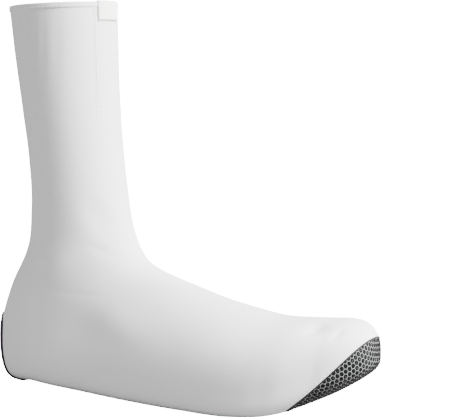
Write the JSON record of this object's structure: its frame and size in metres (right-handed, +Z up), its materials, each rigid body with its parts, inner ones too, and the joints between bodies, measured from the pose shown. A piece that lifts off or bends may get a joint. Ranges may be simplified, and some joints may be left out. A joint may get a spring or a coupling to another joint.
{
  "type": "cycling overshoe",
  "caption": "Tall stretch-cloth cycling overshoe for a right foot: a hollow leg and foot open at the rim and sole, with a gripping toe cap, a heel patch and a pull tab.",
  "frame": {"origin": "middle of the bounding box's bottom face, on the floor that the overshoe stands on", "axes": "+X towards the toe, -Y towards the outer side of the foot, +Z up the leg"},
  "size_m": [0.3006, 0.1018, 0.286],
  "materials": {
    "coated_cloth": "satin coated stretch knit",
    "grip_mesh": "black hexagonal grip cells on a pale net",
    "dark_binding": "matte stitched binding",
    "black_rubber": "matte rubberised cloth",
    "elastic_tape": "ribbed elastic tape"
  },
  "bodies": {
    "root": {"upper": "coated_cloth", "toe_cap": "grip_mesh", "toe_seam": "dark_binding", "heel_patch": "black_rubber", "front_tab": "elastic_tape"}
  },
  "joints": []
}
